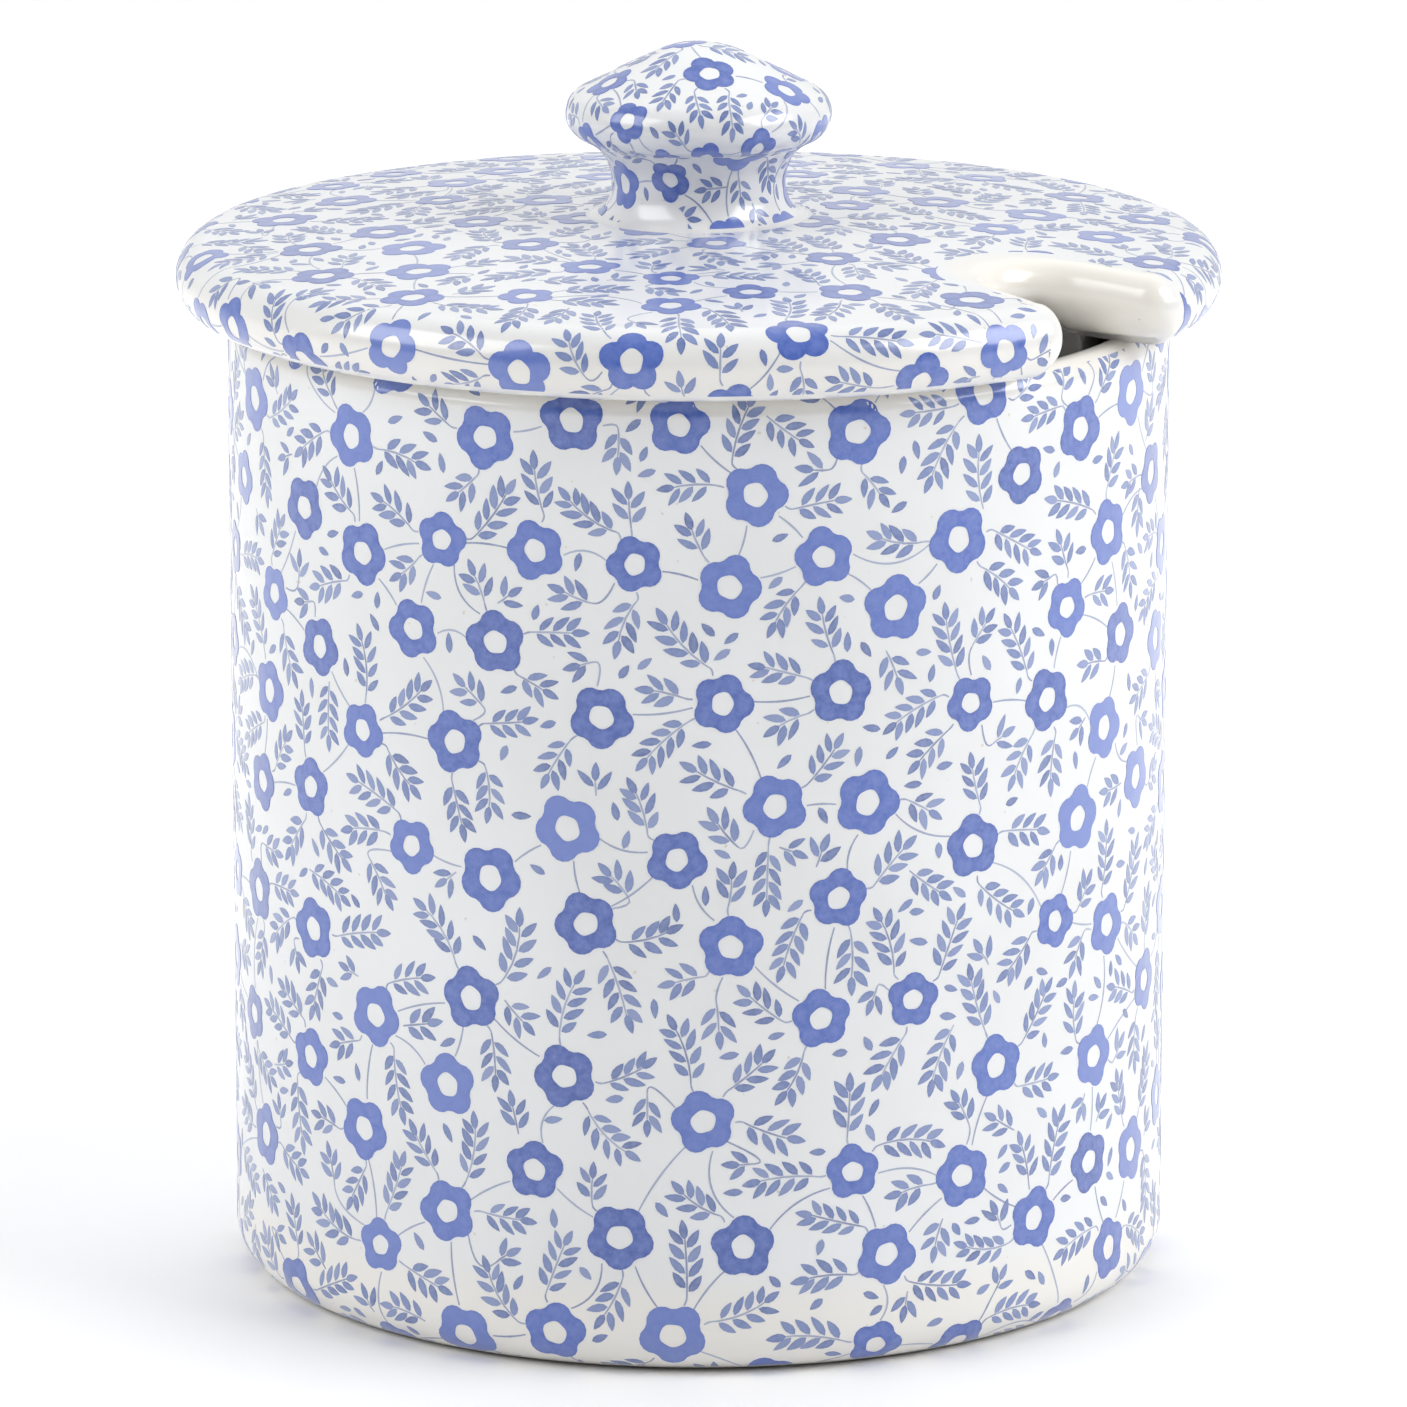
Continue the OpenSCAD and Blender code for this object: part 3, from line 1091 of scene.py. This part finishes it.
def print_lid(inks):
    """The lid's dome and the upper part of its rolled edge, but for the knob's foot and the notch's lips."""
    roll_x = LID_R - ROLL
    meet = math.degrees(math.atan2(roll_x, (roll_x**2 - DOME_RISE**2) / (2 * DOME_RISE)))
    radii = np.linspace(0, roll_x, 60)
    line = outline(
        np.column_stack([radii, dome(radii)]),
        arc(roll_x, UNDER_Z + ROLL, ROLL, 90 - meet, -60, 34),
    )
    surface = Turned(line, lift=lid_wave)
    edge = surface.along[-1] - ROLL * math.radians(12)

    def clear(points):
        r = np.hypot(points[:, 0], points[:, 1])
        notch = notch_distance(points[:, 0], points[:, 1]) - NOTCH_LIP
        lip = 2.6 * (1 - smooth(NOTCH_X - NOTCH_R - 3, NOTCH_X + 3, points[:, 0])) + 0.1
        lip += (NOTCH_CORNER - NOTCH_LIP) * smooth(roll_x - 2, roll_x, r)
        return np.minimum(np.minimum(r - CROWN_R - 0.7, edge - r), notch - lip)

    size = edge + SPARE
    sheet = Sheet((-size, -size), (size, size), clear)
    print_on("lid", "lid", surface, sheet, inks, 1.0, FLOWER_GAP, tries=7000, fine=LID_FINE)


def print_knob(inks):
    """The knob has one round sheet over its top and rolled edge, and a band round its neck."""
    line = finer(knob_outside(), 0.3)
    top = Turned(line)
    cover = top.along[int(np.argmax(line[:, 0]))] + 3.3

    def seam(turn):
        """The hand-cut edge of the print on the knob's head, where the neck's print begins."""
        return cover + 0.3 * np.sin(3 * turn + 0.4) + 0.2 * np.sin(8 * turn)

    def on_top(points):
        return seam(np.arctan2(points[:, 1], points[:, 0])) - np.hypot(points[:, 0], points[:, 1])

    size = cover + SPARE
    sheet = Sheet((-size, -size), (size, size), on_top)
    print_on("knob_top", "lid", top, sheet, inks, KNOB_SCALE, KNOB_GAP, tries=2500, fine=KNOB_FINE)
    round_neck = NECK_R + 1.5
    neck = Turned(line[::-1], wrap=round_neck)
    low, high = 1.3, neck.along[-1] - cover
    bare = round_neck * math.radians(BARE_TURN)

    def on_neck(points):
        top_edge = neck.along[-1] - seam(points[:, 0] / round_neck) - 0.3
        band = np.minimum(points[:, 1] - low, top_edge - points[:, 1])
        off = points[:, 0] - bare
        off = off - TAU * round_neck * np.round(off / (TAU * round_neck))
        patch = np.hypot(off / 1.35, points[:, 1] - low - 0.2) - 2.6
        return np.minimum(band, patch)

    band = Sheet((0, low - SPARE), (TAU * round_neck, high + SPARE), on_neck, wraps=True)
    print_on("knob_neck", "lid", neck, band, inks, KNOB_SCALE, KNOB_GAP, tries=2000, fine=KNOB_FINE)


# -------- studio


def make_camera():
    """A long lens at the photograph's angle: a little above the lid, with the notch to the right."""
    azimuth, pitch = math.radians(CAMERA_SIDE), math.radians(13.2)
    distance, aim_height, aim_side = 932.5, 53.2, 0.45
    right = Vector((math.cos(azimuth), math.sin(azimuth), 0))
    away = Vector((math.sin(azimuth), -math.cos(azimuth), 0))
    aim = right * aim_side + Vector((0, 0, aim_height))
    place = aim + (away * math.cos(pitch) + Vector((0, 0, math.sin(pitch)))) * distance
    data = bpy.data.cameras.new("camera")
    data.sensor_width = 36
    data.lens = 251.9
    data.clip_end = 20
    camera = add_object("camera", data)
    camera.location = place * MM
    camera.rotation_euler = (aim - place).to_track_quat("-Z", "Y").to_euler()
    bpy.context.scene.camera = camera


def make_floor():
    """A wide pale floor that the pot stands on. Away from the pot it glows a little, as a lit studio floor
    does, so that it stays pale in every view."""
    mesh = bpy.data.meshes.new("floor")
    half = 8.0
    corners = [(-half, -half, 0), (half, -half, 0), (half, half, 0), (-half, half, 0)]
    mesh.from_pydata(corners, [], [(0, 1, 2, 3)])
    floor = add_object("floor", mesh)
    material, tree, shader = new_material("floor", (0.93, 0.93, 0.93, 1), 0.6, 0.0)
    place = tree.nodes.new("ShaderNodeTexCoord")
    away = tree.nodes.new("ShaderNodeVectorMath")
    away.operation = "LENGTH"
    tree.links.new(place.outputs["Object"], away.inputs[0])
    glow = tree.nodes.new("ShaderNodeMapRange")
    glow.interpolation_type = "SMOOTHSTEP"
    for socket, value in (("From Min", 0.4), ("From Max", 1.6), ("To Min", 0.0), ("To Max", 0.34)):
        glow.inputs[socket].default_value = value
    tree.links.new(away.outputs["Value"], glow.inputs["Value"])
    shader.inputs["Emission Color"].default_value = (0.985, 0.993, 1, 1)
    tree.links.new(glow.outputs["Result"], shader.inputs["Emission Strength"])
    mesh.materials.append(material)


def add_light(name, azimuth, height, distance, size, power, target=(0, 0, 0.05), reflected=True):
    """A soft square lamp that faces the pot. The azimuth is the side it stands on, as for the camera."""
    turn = math.radians(azimuth)
    data = bpy.data.lights.new(name, "AREA")
    data.shape = "RECTANGLE"
    data.size, data.size_y = size
    data.energy = power
    lamp = add_object(name, data)
    lamp.visible_glossy = reflected
    lamp.location = (distance * math.sin(turn), -distance * math.cos(turn), height)
    lamp.rotation_euler = (Vector(target) - lamp.location).to_track_quat("-Z", "Y").to_euler()


def make_surround():
    """A studio surround that is bright behind and above the pot and dim on the camera's side."""
    world = bpy.data.worlds.new("surround")
    world.use_nodes = True
    tree = world.node_tree
    turn, rise = math.radians(CAMERA_SIDE), math.radians(18)
    place = tree.nodes.new("ShaderNodeTexCoord")
    along = tree.nodes.new("ShaderNodeVectorMath")
    along.operation = "DOT_PRODUCT"
    bright_way = (-math.sin(turn) * math.cos(rise), math.cos(turn) * math.cos(rise), math.sin(rise))
    along.inputs[1].default_value = bright_way
    tree.links.new(place.outputs["Generated"], along.inputs[0])
    levels = ((0.05, 0.05), (0.4, 0.19), (0.6, 0.46), (0.9, 0.78))
    stops = [(at, (0.985 * level, 0.993 * level, level, 1)) for at, level in levels]
    colour = ramp(tree, scaled(tree, along.outputs["Value"], 0.5, 0.5), stops)
    colour.node.color_ramp.interpolation = "EASE"
    tree.links.new(colour, tree.nodes["Background"].inputs["Color"])
    bpy.context.scene.world = world


def make_lights():
    """Softboxes on the left and right of the camera, one overhead and one for the table behind the pot."""
    make_surround()
    add_light("left_softbox", CAMERA_SIDE - 66, 0.62, 0.8, (0.7, 0.6), 5.2)
    add_light("right_softbox", CAMERA_SIDE + 72, 0.62, 0.8, (0.7, 0.6), 7.2)
    behind = CAMERA_SIDE + 180
    add_light("overhead", behind, 0.6, 0.35, (0.8, 0.5), 1.2, (0, 0, 0), reflected=False)
    add_light("background_lamp", behind, 0.6, 0.8, (0.9, 0.5), 1.8, (-0.48, 0.64, 0), reflected=False)


# -------- scene

make_camera()
make_floor()
make_lights()

glaze = glaze_material()
clay = clay_material()
blue = {
    "flowers": ink_material("print_flower_blue", "#6E82C6", "#3D5DB2", "#2C4C9B"),
    "leaves": ink_material("print_leaf_blue", "#8997C0", "#5E73AB", "#485B95"),
    "stems": ink_material("print_stem_blue", "#A8B1C8", "#858FB0", "#6B789F"),
}
blue["loose_leaves"] = blue["leaves"]

for node, make, body in (("jar", make_jar, "jar"), ("lid", make_lid, "lid"), ("knob", make_knob, "lid")):
    piece = make(glaze)
    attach(piece, body)
    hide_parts(node)

for name, body, radius, level in (
    ("jar_stilt_marks", "jar", JAR_R - FOOT_CORNER - 1.6, 0.0),
    ("lid_stilt_marks", "lid", (FLANGE_OUT + FLANGE_IN) / 2, UNDER_Z - FLANGE_H - 0.16),
):
    marks = make_stilt_marks(name, clay, radius, level)
    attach(marks, body)

print_jar(blue)
print_lid(blue)
print_knob(blue)

bpy.context.scene.view_settings.view_transform = "Standard"

bpy.context.view_layer.update()
